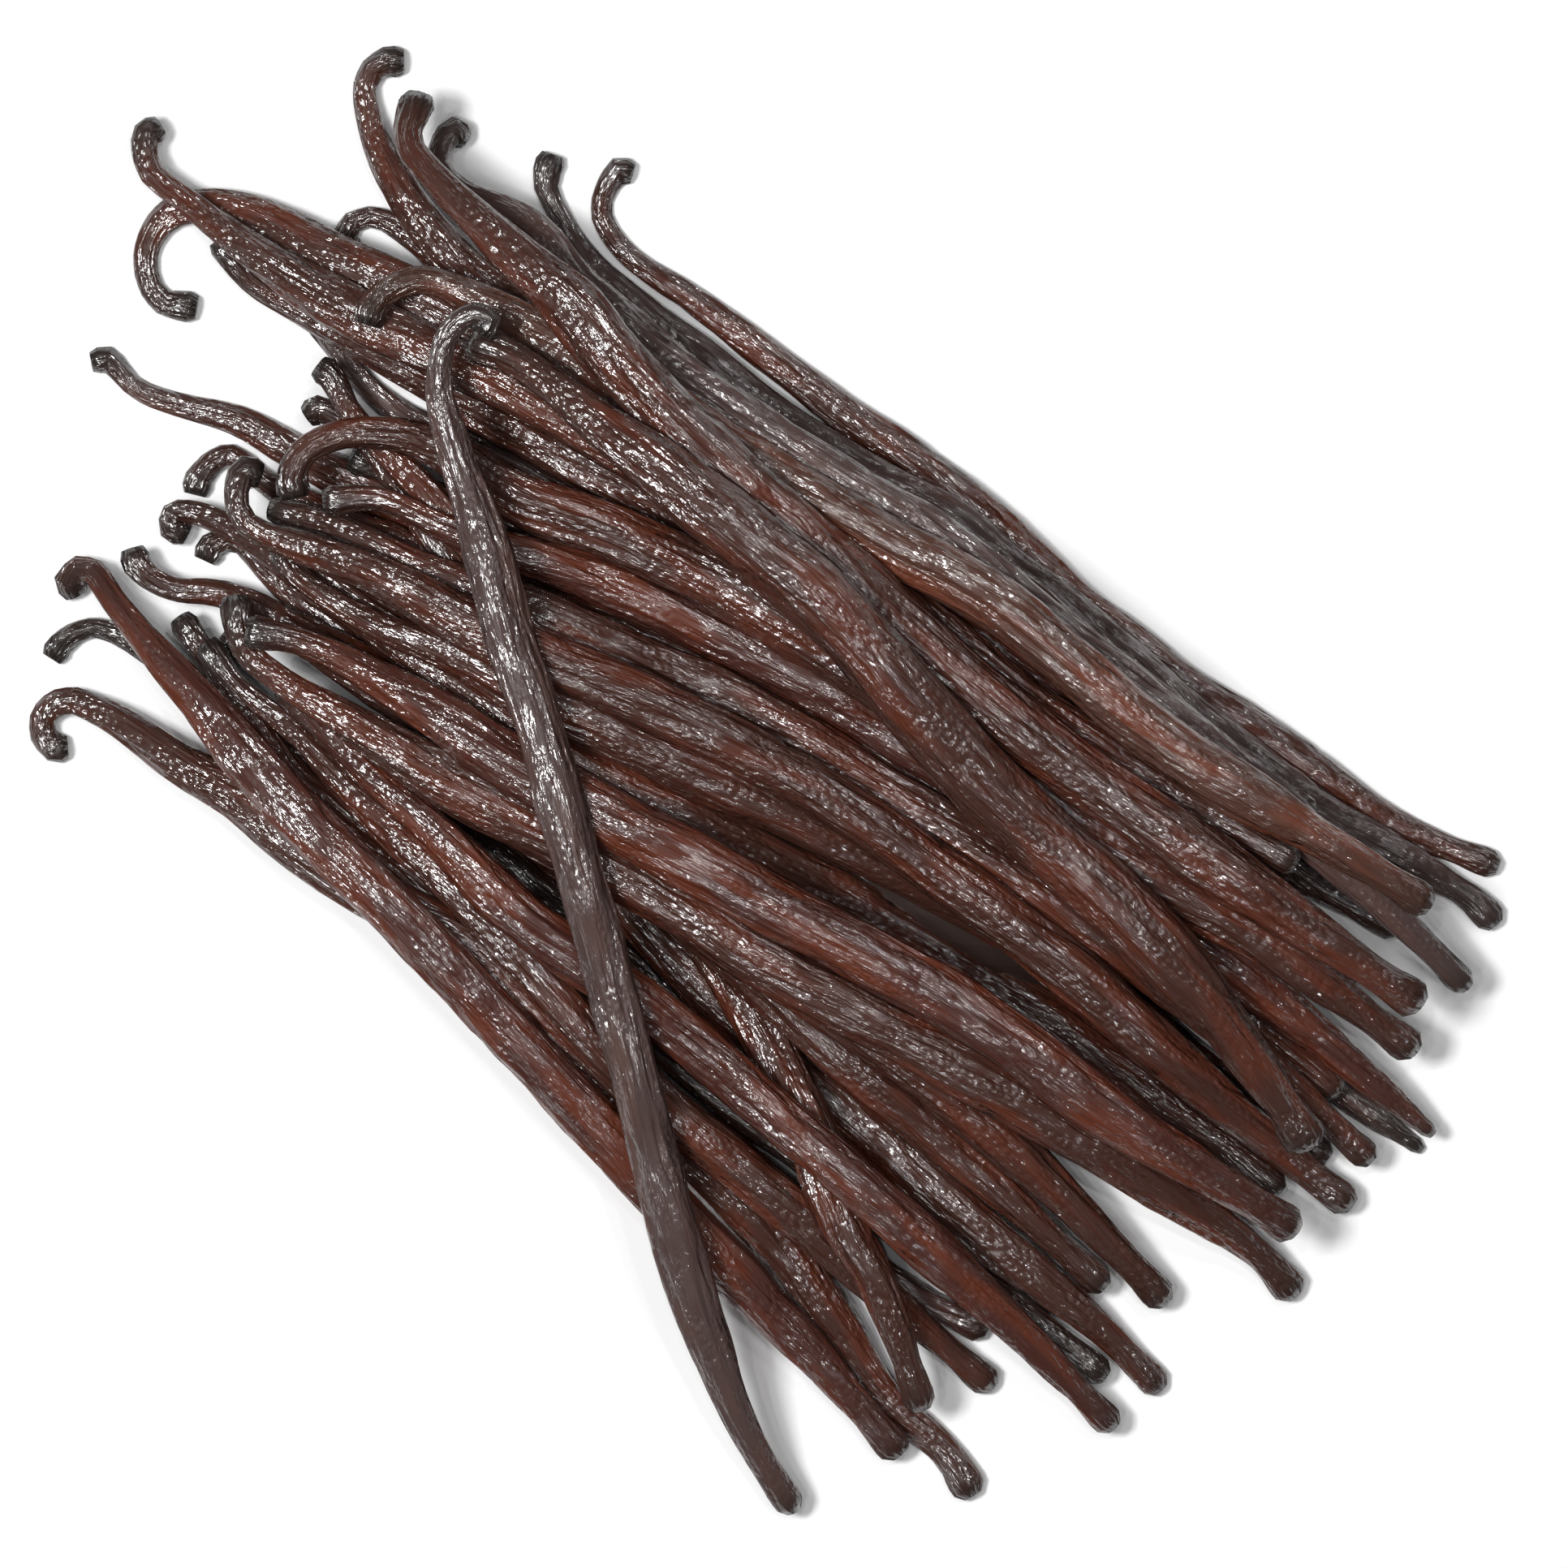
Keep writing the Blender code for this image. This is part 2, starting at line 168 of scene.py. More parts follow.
# From the lowest pod to the topmost, in millimetres.
PODS: tuple[Pod, ...] = (
    Pod(5.6, Tone.UMBER, ((-17.2, 75.3), (-18.6, 76), (-21.2, 71), (-18.6, 66), (-10, 59.8),
                          (0, 52.3), (10, 44.6), (20, 37.6), (43.4, 17.4), (68.8, 0.2), (78.5, -5.8),
                          (89.3, -10.2)), shoulder=60.0),
    Pod(6.0, Tone.SLATE_SHEEN, ((-27, 77.6), (-28, 74), (-26.2, 70), (-23, 65), (-18.2, 60), (-10, 53),
                          (0, 44.9), (10, 38.6), (20, 33.4), (35, 21.8), (50, 9.5), (65, -2),
                          (80, -10.5), (86.5, -14.5), (89, -17.3))),
    Pod(6.0, Tone.UMBER, ((-68, 18.2), (-45, 2), (-25, -9.5), (0, -21), (25, -32), (45, -43.5),
                          (62, -53))),
    Pod(5.8, Tone.EBONY, ((-60, 8.5), (-38, -6.8), (-28, -14.3), (-14, -25.3), (0, -37.5), (22, -57.5),
                          (34, -66.5))),
    Pod(5.6, Tone.UMBER, ((-83.9, 52), (-82, 52.5), (-78.5, 48.8), (-73, 46.8), (-66, 44.9),
                          (-58.5, 40.6), (-40, 31.5), (-20, 21), (0, 9), (25, -8), (50, -27))),
    Pod(6.0, Tone.EBONY, ((-88.8, 15.5), (-87.4, 17.6), (-84, 19.4), (-79.5, 18), (-72, 12.5), (-60, 4),
                          (-30, -19), (0, -42), (20, -57), (41, -72.8))),
    Pod(6.0, Tone.EBONY, ((-34.2, 65.2), (-33.3, 61.5), (-29, 57), (-5, 42), (15, 30), (35, 15),
                          (66, -11.5), (77.2, -17.8))),
    Pod(5.8, Tone.UMBER, ((-52, 65.6), (-52.7, 68.2), (-50.8, 69.8), (-48.4, 69.8), (-43.3, 66.4),
                          (-38, 61.8), (-20, 49), (0, 37), (25, 21), (68, -8))),
    Pod(6.4, Tone.UMBER, ((-45.4, 89.1), (-48.2, 88.9), (-50.2, 86.6), (-48.7, 78.8), (-43.5, 70),
                          (-35.5, 61.3), (-22, 54), (-2, 42), (25, 26), (40, 14.5), (66, -4))),
    Pod(6.0, Tone.SLATE_SHEEN, ((-37.9, 79.6), (-38.9, 80.9), (-40.3, 79.5), (-41.2, 76.5), (-39.5, 73.8),
                          (-30, 68.8), (-23, 60), (-10, 49.2), (0, 42.3), (10, 36.2), (20, 30.4),
                          (31, 21.5), (45, 10.5), (60, -1.5), (74, -14), (85.3, -24.8))),
    Pod(6.2, Tone.EBONY, ((-52, 40.2), (-43, 36.7), (-30, 30), (-15, 22), (5, 9), (30, -8), (65, -34),
                          (80, -45)), Foot.POINT),
    Pod(6.2, Tone.UMBER, ((-71.2, 35.7), (-70.6, 38), (-67, 40.8), (-62.8, 37.5), (-57, 34),
                          (-45, 28.8), (-30, 22.8), (-15, 16.5), (10.5, 4.5), (27, -5.5), (55, -26),
                          (69.7, -37.8))),
    Pod(6.0, Tone.SLATE_SHEEN, ((-56.3, 58), (-54.8, 55.5), (-52, 51.3), (-46, 45.8), (-34, 39.3), (-8, 25),
                          (30, 2), (72, -24))),
    Pod(6.0, Tone.UMBER, ((-72.8, 20.6), (-69.5, 15.8), (-64.5, 8.5), (-57, -1), (-43.5, -12),
                          (-28, -26.5), (-14, -39), (0, -50), (14, -60.5), (26.4, -67.3))),
    Pod(6.6, Tone.UMBER, ((-86.8, 4.6), (-88.1, 4), (-90.2, 7.6), (-87.4, 10.5), (-82.4, 9), (-73, 3),
                          (-65, -1.7), (-53, -11), (-39, -19), (-27, -29), (-10.4, -44.9), (0, -55.3),
                          (6.5, -64.7), (14.6, -76.3), (21, -82), (24.7, -87.5))),
    Pod(6.0, Tone.UMBER, ((-69.5, 17.5), (-66, 12.7), (-57.8, 6), (-49.5, -2.5), (-37, -13.6),
                          (-24, -28.5), (-12, -40.5), (2.1, -52), (16, -64.5), (27, -74.2))),
    Pod(6.2, Tone.UMBER, ((-57.2, 45.2), (-56.4, 46.4), (-54.3, 45.4), (-51, 43.2), (-42, 31),
                          (-32, 14), (-24, 0), (-19, -12.5), (-7.5, -25.8), (8, -39), (25, -54.5),
                          (41, -67.5), (47.7, -74.6))),
    Pod(6.4, Tone.UMBER, ((-55.8, 51.4), (-54.2, 50.2), (-51.5, 45.3), (-40, 33), (-30, 18), (-20, 2),
                          (-6, -21.5), (-0.6, -31), (4.2, -41), (8.2, -52.8), (13, -61.5),
                          (18.4, -76.6))),
    Pod(6.6, Tone.MAHOGANY, ((-85.8, 23.4), (-86.7, 25.4), (-84.2, 26.9), (-80.8, 22.6), (-76.3, 17.2),
                             (-68, 7.8), (-58, -3.6), (-44.5, -17.3), (-30, -32.5), (-18, -45.5),
                             (-8, -56.5), (6.3, -71.4), (15.8, -82.3))),
    Pod(6.4, Tone.UMBER, ((-70.9, 58.6), (-75.7, 59.9), (-77.2, 65.5), (-73.8, 70.5), (-66.5, 70.7),
                          (-56, 65.8), (-44, 60), (-20, 46), (0, 33), (25, 17), (45, 2))),
    Pod(6.0, Tone.UMBER, ((-68.2, 67), (-64.4, 61.9), (-57, 57.6), (-42, 49.7), (-21, 37.7), (0, 25),
                          (15, 16), (35, 3), (55, -11))),
    Pod(6.4, Tone.UMBER, ((-75.4, 81), (-77, 80.4), (-76.8, 75.8), (-71.5, 71.3), (-62, 64.2),
                          (-50, 57), (-31, 48), (-14, 38.5), (10, 25.8), (31, 9.7), (45, 1),
                          (64, -9.7))),
    Pod(6.2, Tone.UMBER, ((-70, 27.6), (-68.8, 29.8), (-66, 30.2), (-61.5, 25.5), (-50, 16), (-40, 8.5),
                          (-25, -4), (-10, -16.5), (10.5, -34.8), (29.5, -51.2), (40.8, -61.8))),
    Pod(6.4, Tone.UMBER, ((-78.8, 29), (-78, 26.6), (-73.8, 24), (-68, 23.5), (-57, 18), (-48, 12.5),
                          (-30, 0), (-10, -15), (10, -29), (30, -45), (42, -57), (48.4, -63.6))),
    Pod(6.2, Tone.UMBER, ((-72, 30.8), (-74, 31.8), (-74.2, 33.4), (-71.5, 33.6), (-65, 30.8),
                          (-45, 17.5), (-27, 4.5), (-6, -6.3), (11, -15.2), (29, -25.7), (52, -42),
                          (62.5, -50.2))),
    Pod(6.0, Tone.UMBER, ((-60, 29.3), (-58.5, 26), (-49.5, 20.1), (-39, 15.6), (-27, 9.5), (-2, -2),
                          (19, -12), (35, -21.2), (50, -32.5), (68.3, -46.2))),
    Pod(6.0, Tone.UMBER, ((-61.6, 33.8), (-53, 31.5), (-41.6, 26), (-27, 20), (-2, 9), (14.5, -0.8),
                          (31.3, -11.5), (60, -33.5), (73.5, -46.3))),
    Pod(6.2, Tone.MAHOGANY, ((-55, 34.6), (-48, 34.9), (-40, 31.3), (-22, 25.3), (-9, 19.4),
                             (10, 9.3), (30, -3.5), (55, -21.5), (73, -36), (81.2, -43)), Foot.POINT),
    Pod(6.6, Tone.UMBER, ((-62.6, 37.8), (-64.6, 38.6), (-65.6, 36), (-65, 32.8), (-62.4, 30.8),
                          (-49.3, 26), (-35, 18.5), (-14.5, 9.8), (10.5, -3.8), (35, -21.5), (50, -34.5),
                          (62, -44.5), (71.3, -51.8))),
    Pod(6.2, Tone.MAHOGANY, ((-60, 12), (-51.5, 3.5), (-43.2, -4), (-30.7, -16), (-15.4, -27),
                             (-2, -38.2), (14.6, -52.5), (31.3, -68), (42, -79))),
    Pod(6.8, Tone.UMBER, ((-65.6, 23), (-64.8, 17), (-60, 12.8), (-51.5, 7.8), (-39, 0), (-25, -7.3),
                          (-12, -14.6), (-2, -21.2), (14.6, -30), (35, -41.5), (51.6, -51.8),
                          (60, -58), (64.3, -62.8))),
    Pod(7.4, Tone.MAHOGANY, ((-64.3, 18.8), (-57.8, 17.5), (-45.3, 11.3), (-30.5, 2), (-14.5, -6.9),
                             (2.1, -16), (19, -24.8), (33, -34), (44, -42.2), (56, -49.3),
                             (64.2, -54.4))),
    Pod(7.2, Tone.UMBER, ((-58.3, 35), (-58.8, 38), (-57.2, 40.8), (-54, 42.5), (-50, 43.2),
                          (-42, 41.9), (-31, 35), (-20, 31), (-8, 25.3), (8, 15.8), (20, 7.5),
                          (39.5, -7), (60, -19), (78.8, -32.7))),
    Pod(7.0, Tone.TAN, ((-49.7, 56.2), (-48.6, 59), (-46, 61), (-42.5, 61.8), (-34, 58.2), (-20, 50.3),
                        (-6, 41), (12, 30.5), (28, 21.5), (38, 13.2), (49, 4.2), (60, -2.5),
                        (80.3, -14.8))),
    Pod(7.6, Tone.UMBER, ((-43.2, 84.4), (-44.7, 79), (-41, 74), (-33.6, 66.6), (-25.5, 59.3),
                          (-17.5, 49.8), (-7, 39.5), (8, 26), (24, 12), (40, -0.5), (60, -14),
                          (79.3, -26.8))),
    Pod(8.6, Tone.UMBER, ((-36.5, 54.2), (-31, 51.6), (-20.4, 43.4), (-5.5, 31.8), (8.4, 20),
                          (16.7, 10.2), (25.9, 0), (42.3, -15), (51.6, -25), (59.5, -35),
                          (66, -44.3))),
    Pod(6.2, Tone.SLATE_SHEEN, ((-35.6, 54.8), (-34.4, 55.9), (-35.4, 57.3), (-39.2, 55.4), (-40.5, 49),
                          (-38.9, 41.5), (-34.9, 29.5), (-32.4, 20), (-26.3, 0), (-18.2, -30),
                          (-10.4, -60), (-3, -80), (2.6, -89.2))),
)


@dataclass
class LaidPod:
    """A pod's middle line in space, with its half widths and half thicknesses, all in millimetres."""

    pod: Pod
    run: np.ndarray
    plan: np.ndarray
    height: np.ndarray
    half_width: np.ndarray
    half_thick: np.ndarray


@dataclass
class Heap:
    """Lays the pods one on another, with the same rule that gives the solid its outline.

    Args:
        flatness: Thickness of a pod over its width.
        press: Share of full thickness left where one pod presses on another.
        settle: How far the heap sinks.
        crest_radius: Tightest bend of a pod over the one that holds it up.
        sag_radius: Tightest bend of a pod that droops between two supports.
        steps: Samples along one pod.
        span_samples: Samples between two given points, before they are spaced evenly.
        laid: The pods laid so far.
    """

    flatness: float = 0.72
    press: float = 0.80
    settle: float = 0.4
    crest_radius: float = 60.0
    sag_radius: float = 80.0
    steps: int = 72
    span_samples: int = 24
    laid: list[LaidPod] = field(default_factory=list)

    def lay(self, pod: Pod) -> LaidPod:
        """Rests one more pod on the table and on the pods already laid.

        Args:
            pod: The pod to lay.

        Returns:
            The pod with its middle line in space.
        """
        plan, run = self.smooth_route(pod.route)
        half_width = self.half_widths(run, pod)
        half_thick = half_width * self.flatness
        heights = self.supports(plan, half_width, half_thick)
        drop = (run[:, None] - run[None]) ** 2 / (2 * self.crest_radius)
        heights = self.taut_over(run, (heights[None] - drop).max(axis=1))
        laid = LaidPod(pod, run, plan, heights, half_width, half_thick)
        self.laid.append(laid)
        return laid

    def smooth_route(self, points: tuple[Point, ...]) -> tuple[np.ndarray, np.ndarray]:
        """Samples an even curve through the points.

        Args:
            points: The points that the curve passes, in order.

        Returns:
            The samples in plan, and the distance of each along the curve.
        """
        knots = np.array(points, float)
        padded = np.vstack([2 * knots[0] - knots[1], knots, 2 * knots[-1] - knots[-2]])
        pieces = []
        for p0, p1, p2, p3 in zip(padded[:-3], padded[1:-2], padded[2:-1], padded[3:]):
            t1 = np.linalg.norm(p1 - p0) ** 0.5
            t2 = t1 + np.linalg.norm(p2 - p1) ** 0.5
            t3 = t2 + np.linalg.norm(p3 - p2) ** 0.5
            t = np.linspace(t1, t2, self.span_samples, endpoint=False)[:, None]
            a1 = (t1 - t) / t1 * p0 + t / t1 * p1
            a2 = (t2 - t) / (t2 - t1) * p1 + (t - t1) / (t2 - t1) * p2
            a3 = (t3 - t) / (t3 - t2) * p2 + (t - t2) / (t3 - t2) * p3
            b1 = (t2 - t) / t2 * a1 + t / t2 * a2
            b2 = (t3 - t) / (t3 - t1) * a2 + (t - t1) / (t3 - t1) * a3
            pieces.append((t2 - t) / (t2 - t1) * b1 + (t - t1) / (t2 - t1) * b2)
        fine = np.vstack([*pieces, knots[-1:]])
        run = np.concatenate([[0.0], np.cumsum(np.linalg.norm(np.diff(fine, axis=0), axis=1))])
        even = np.linspace(0.0, run[-1], self.steps)
        return np.column_stack([np.interp(even, run, fine[:, axis]) for axis in (0, 1)]), even

    @staticmethod
    def half_widths(run: np.ndarray, pod: Pod) -> np.ndarray:
        """Half the pod's width along it: flared tip, thin neck, full body and narrowing foot.

        Args:
            run: Distances from the tip, in millimetres.
            pod: The pod.

        Returns:
            Half its width at each distance.
        """
        stops = (*HEAD_STOPS, pod.shoulder, *(run[-1] - left for left in FOOT_STOPS))
        shares = (*HEAD_SHARES, 1.0, 1.0, FOOT_NECK_SHARE, pod.foot.value, pod.foot.value)
        return np.interp(run, stops, shares) * pod.width / 2

    def supports(self, plan: np.ndarray, half_width: np.ndarray, half_thick: np.ndarray) -> np.ndarray:
        """Lowest height of the middle line that clears the table and every pod already laid.

        Args:
            plan: The middle line in plan.
            half_width: Half the pod's width at each sample.
            half_thick: Half its thickness at each sample.

        Returns:
            The height at each sample.
        """
        heights = half_thick.copy()
        for other in self.laid:
            apart = np.linalg.norm(plan[:, None] - other.plan[None], axis=2)
            share = np.clip(apart / (half_width[:, None] + other.half_width[None]), 0.0, 1.0)
            both = half_thick[:, None] + other.half_thick[None]
            lift = other.height[None] + self.press * both * np.sqrt(1.0 - share**2)
            heights = np.maximum(heights, np.where(share < 1.0, lift, 0.0).max(axis=1))
        return heights

    def taut_over(self, run: np.ndarray, heights: np.ndarray) -> np.ndarray:
        """The lowest line over the heights that bends upwards no more tightly than the sag allows.

        Args:
            run: Distances along the pod.
            heights: Heights that the line has to clear.

        Returns:
            The line's height at each distance.
        """
        bow = run**2 / (2 * self.sag_radius)
        lowered = heights - bow
        kept: list[int] = []
        for here in range(len(run)):
            while len(kept) > 1:
                a, b = kept[-2], kept[-1]
                rise_ab = (lowered[b] - lowered[a]) * (run[here] - run[a])
                rise_ah = (lowered[here] - lowered[a]) * (run[b] - run[a])
                if rise_ab > rise_ah:
                    break
                kept.pop()
            kept.append(here)
        return np.interp(run, run[kept], lowered[kept]) + bow


@dataclass
class PodShape:
    """Turns a laid pod into a wrinkled skin mesh.

    Args:
        sides: Points round the pod.
        ring_gap: Distance between rings, in millimetres.
        furrow: Depth of the long furrows.
        furrow_pitch: Distance between furrows round the pod.
        furrow_length: How far a furrow runs along the pod.
        lump: Height of the slow swellings.
        twist: How far the flat section leans to either side, in degrees.
        twist_length: How far along the pod the lean takes to change.
        swell: Share by which the width comes and goes along the pod.
        swell_length: How far along the pod that takes.
        tip_fade: How far the dark of the tip reaches.
        foot_fade: How far the dark of the foot reaches.
        foot_dark: How dark the foot is beside the tip.
    """

    sides: int = 48
    ring_gap: float = 1.05
    furrow: float = 0.40
    furrow_pitch: float = 1.9
    furrow_length: float = 22.0
    lump: float = 0.35
    twist: float = 24.0
    twist_length: float = 38.0
    swell: float = 0.07
    swell_length: float = 13.0
    tip_fade: float = 7.0
    foot_fade: float = 4.0
    foot_dark: float = 0.8

    def add(self, bm: bmesh.types.BMesh, laid: LaidPod, seed: int, settle: float) -> None:
        """Adds one pod's skin to the mesh, with its UVs in millimetres.

        Args:
            bm: The mesh being built.
            laid: The pod with its middle line.
            seed: A number of the pod's own, which its wrinkles start from.
            settle: How far the heap sinks.
        """
        length = laid.run[-1]
        run = np.linspace(0.0, length, int(length / self.ring_gap))
        line = np.column_stack([laid.plan - ORIGIN, laid.height - settle])
        centres = np.column_stack([np.interp(run, laid.run, line[:, axis]) for axis in range(3)])
        half_width = np.interp(run, laid.run, laid.half_width)
        half_thick = np.interp(run, laid.run, laid.half_thick)
        along = np.gradient(centres, axis=0)
        along /= np.linalg.norm(along, axis=1)[:, None]
        side = np.cross(along, (0.0, 0.0, 1.0))
        side /= np.linalg.norm(side, axis=1)[:, None]
        up = np.cross(side, along)
        uv = bm.loops.layers.uv.verify()
        shade = bm.verts.layers.float_color.get("shade") or bm.verts.layers.float_color.new("shade")
        rings = []
        for index, distance in enumerate(run):
            lean_at = Vector((distance / self.twist_length, seed * 7.3, 0.5))
            lean = math.radians(self.twist) * noise.noise(lean_at)
            swell_at = Vector((distance / self.swell_length, seed * 3.1, 4.0))
            swell = 1.0 + self.swell * noise.noise(swell_at)
            tip_dark = math.exp(-distance / self.tip_fade)
            foot_dark = self.foot_dark * math.exp(-(length - distance) / self.foot_fade)
            rounded = self.end_share(distance, length)
            ring = []
            for k in range(self.sides):
                angle = 2 * math.pi * k / self.sides - math.pi / 2
                wide = math.cos(angle) * half_width[index] * swell
                thick = math.sin(angle) * half_thick[index] * swell
                out = (1.0 + self.relief(wide, thick, distance, seed)) * rounded
                across = wide * math.cos(lean) - thick * math.sin(lean)
                rise = wide * math.sin(lean) + thick * math.cos(lean)
                place = centres[index] + side[index] * across * out + up[index] * rise * out
                vert = bm.verts.new(place * MM)
                vert[shade] = (max(tip_dark, foot_dark), 0.0, 0.0, 1.0)
                ring.append(vert)
            rings.append(ring)
        for index, (near, far) in enumerate(zip(rings[:-1], rings[1:])):
            girth = math.pi * (half_width[index] + half_thick[index])
            for k in range(self.sides):
                following = (k + 1) % self.sides
                face = bm.faces.new((near[k], far[k], far[following], near[following]))
                face.smooth = True
                corners = ((k, index), (k, index + 1), (k + 1, index + 1), (k + 1, index))
                for loop, (around, ring_index) in zip(face.loops, corners):
                    loop[uv].uv = (
                        (around / self.sides - 0.5) * girth + seed * 31.0,
                        run[ring_index] + seed * 17.0,
                    )
        for ring in (rings[0], rings[-1][::-1]):
            cap = bm.faces.new(ring)
            cap.smooth = True

    def relief(self, wide: float, thick: float, distance: float, seed: int) -> float:
        """How far the skin stands out at a point, as a share of the pod's radius.

        Args:
            wide: The point's distance from the middle line across the pod.
            thick: Its distance up from the middle line.
            distance: Its distance along the pod.
            seed: The pod's own number.

        Returns:
            The share to grow the section by, below zero in a furrow.
        """
        radius = max(math.hypot(wide, thick), 0.6)
        x, y = wide / self.furrow_pitch, thick / self.furrow_pitch
        ridge = noise.noise(Vector((x * 1.9, y * 1.9, distance / self.furrow_length + seed * 5.7)))
        furrow = math.exp(-((ridge / 0.10) ** 2))
        lumps = noise.noise(Vector((x * 0.6, y * 0.6, distance / 9.0 + seed * 2.3)))
        pebbles = noise.noise(Vector((x * 1.7, y * 1.7, distance / 1.9 + seed * 1.1)))
        height = self.lump * lumps - self.furrow * furrow + 0.07 * pebbles + 0.18 * ridge
        return height / radius * min(1.0, radius / 2.4) ** 2

    @staticmethod
    def end_share(distance: float, length: float) -> float:
        """Rounds the two ends.

        Args:
            distance: Distance along the pod.
            length: The pod's length.

        Returns:
            The share of its section that the pod has there: 1 except over the last millimetres.
        """
        tip = min(1.0, (distance + 0.5) / 1.6)
        blunt = min(1.0, (length - distance + 0.3) / 1.8)
        return math.sqrt(1.0 - (1.0 - tip) ** 2) * math.sqrt(1.0 - (1.0 - blunt) ** 2)


@dataclass
class PodSkin:
    """The skin of one tone: cured, oily and dark brown, creased lengthwise as the pod dried and shrank."""

    tone: Tone
    finish: SkinFinish

    def material(self) -> bpy.types.Material:
        """Builds the material.

        Returns:
            The finished material.
        """
        made = bpy.data.materials.new(f"vanilla_skin_{self.tone.value}")
        made.use_nodes = True
        tree = made.node_tree
        shader = tree.nodes["Principled BSDF"]
        uv = add_node(tree, "ShaderNodeUVMap")
        shade = add_node(tree, "ShaderNodeAttribute", attribute_name="shade")
        parts = add_node(tree, "ShaderNodeSeparateColor", Color=shade.outputs["Color"])

        # Warm patches run along the pod for about 25 mm and a third of the way round.
        patches = self.pattern(tree, uv, PATCH_CELL, 2.0)
        low = 0.62 - 0.35 * self.finish.warm_share
        warm = self.ramp(tree, patches, low, low + 0.22)
        skin = add_node(tree, "ShaderNodeMix", data_type="RGBA", Factor=warm,
                        A=linear(self.finish.base), B=linear(self.finish.warm))
        # The ends dry first and go greenish black.
        tipped = add_node(tree, "ShaderNodeMix", data_type="RGBA", Factor=parts.outputs["Red"],
                          A=skin.outputs[2], B=linear(TIP_COLOUR))
        tree.links.new(tipped.outputs[2], shader.inputs["Base Color"])

        # Fine creases half a millimetre apart run along the pod.
        creases = self.pattern(tree, uv, CREASE_CELL, 3.0)
        crease_bump = add_node(tree, "ShaderNodeBump", Height=creases)
        crease_bump.inputs["Distance"].default_value = self.finish.crease_mm * MM * HEIGHT_SPAN
        # Beads under a millimetre crowd in pebbled patches, where seeds press from inside.
        beads = add_node(tree, "ShaderNodeTexVoronoi", feature="SMOOTH_F1", voronoi_dimensions="2D",
                         Vector=self.scaled(tree, uv, BEAD_CELL))
        beads.inputs["Scale"].default_value = 1.0
        beads.inputs["Smoothness"].default_value = 0.6
        pebbled = self.ramp(tree, self.pattern(tree, uv, PEBBLED_CELL, 2.0),
                            0.60 - 0.3 * self.finish.bead_share, 0.70 - 0.3 * self.finish.bead_share)
        domes = add_node(tree, "ShaderNodeMath", operation="MULTIPLY")
        tree.links.new(beads.outputs["Distance"], domes.inputs[0])
        tree.links.new(pebbled, domes.inputs[1])
        bead_bump = add_node(tree, "ShaderNodeBump", Height=domes.outputs[0],
                             Normal=crease_bump.outputs["Normal"])
        bead_bump.invert = True
        bead_bump.inputs["Distance"].default_value = self.finish.bead_mm * MM * HEIGHT_SPAN
        tree.links.new(bead_bump.outputs["Normal"], shader.inputs["Normal"])

        # The film of vanilla oil wets the finest grain, so it glints in short dashes along the pod.
        grain = self.pattern(tree, uv, GRAIN_CELL, 1.5)
        grain_bump = add_node(tree, "ShaderNodeBump", Height=grain, Normal=bead_bump.outputs["Normal"])
        grain_bump.inputs["Distance"].default_value = GRAIN_MM * MM * HEIGHT_SPAN
        tree.links.new(grain_bump.outputs["Normal"], shader.inputs["Coat Normal"])
        wet = self.ramp(tree, self.pattern(tree, uv, WET_CELL, 3.0),
                        0.62 - 0.30 * self.finish.oil, 0.74 - 0.30 * self.finish.oil)
        tree.links.new(wet, shader.inputs["Coat Weight"])
        shader.inputs["Coat Roughness"].default_value = self.finish.oil_gloss
        shader.inputs["Coat IOR"].default_value = OIL_IOR
        shader.inputs["Roughness"].default_value = self.finish.satin
        shader.inputs["Specular IOR Level"].default_value = SKIN_SPECULAR
        return made

    @staticmethod
    def scaled(tree: bpy.types.NodeTree, uv: bpy.types.Node, cell: Point) -> bpy.types.NodeSocket:
        """The skin's coordinates, counted in cells of a pattern.

        Args:
            tree: The material's nodes.
            uv: The node that gives the coordinates in millimetres.
            cell: The cell's size in millimetres, round the pod and along it.

        Returns:
            The socket with the coordinates.
        """
        mapping = add_node(tree, "ShaderNodeMapping", Vector=uv.outputs["UV"])
        mapping.inputs["Scale"].default_value = (1 / cell[0], 1 / cell[1], 1.0)
        return mapping.outputs["Vector"]

    def pattern(
        self, tree: bpy.types.NodeTree, uv: bpy.types.Node, cell: Point, detail: float
    ) -> bpy.types.NodeSocket:
        """Noise over the skin, stretched along the pod.

        Args:
            tree: The material's nodes.
            uv: The node that gives the coordinates in millimetres.
            cell: The size of the noise in millimetres, round the pod and along it.
            detail: How many finer layers it has.

        Returns:
            The socket with the noise, 0 to 1.
        """
        made = add_node(tree, "ShaderNodeTexNoise", noise_dimensions="2D", Vector=self.scaled(tree, uv, cell))
        made.inputs["Scale"].default_value = 1.0
        made.inputs["Detail"].default_value = detail
        return made.outputs["Fac"]

    @staticmethod
    def ramp(
        tree: bpy.types.NodeTree, value: bpy.types.NodeSocket, low: float, high: float
    ) -> bpy.types.NodeSocket:
        """A soft step from 0 at low to 1 at high.

        Args:
            tree: The material's nodes.
            value: The socket with the value that steps.
            low: Where the step starts.
            high: Where it ends.

        Returns:
            The socket with the step.
        """
        made = add_node(tree, "ShaderNodeMapRange", interpolation_type="SMOOTHSTEP", Value=value)
        made.inputs["From Min"].default_value = low
        made.inputs["From Max"].default_value = high
        return made.outputs["Result"]


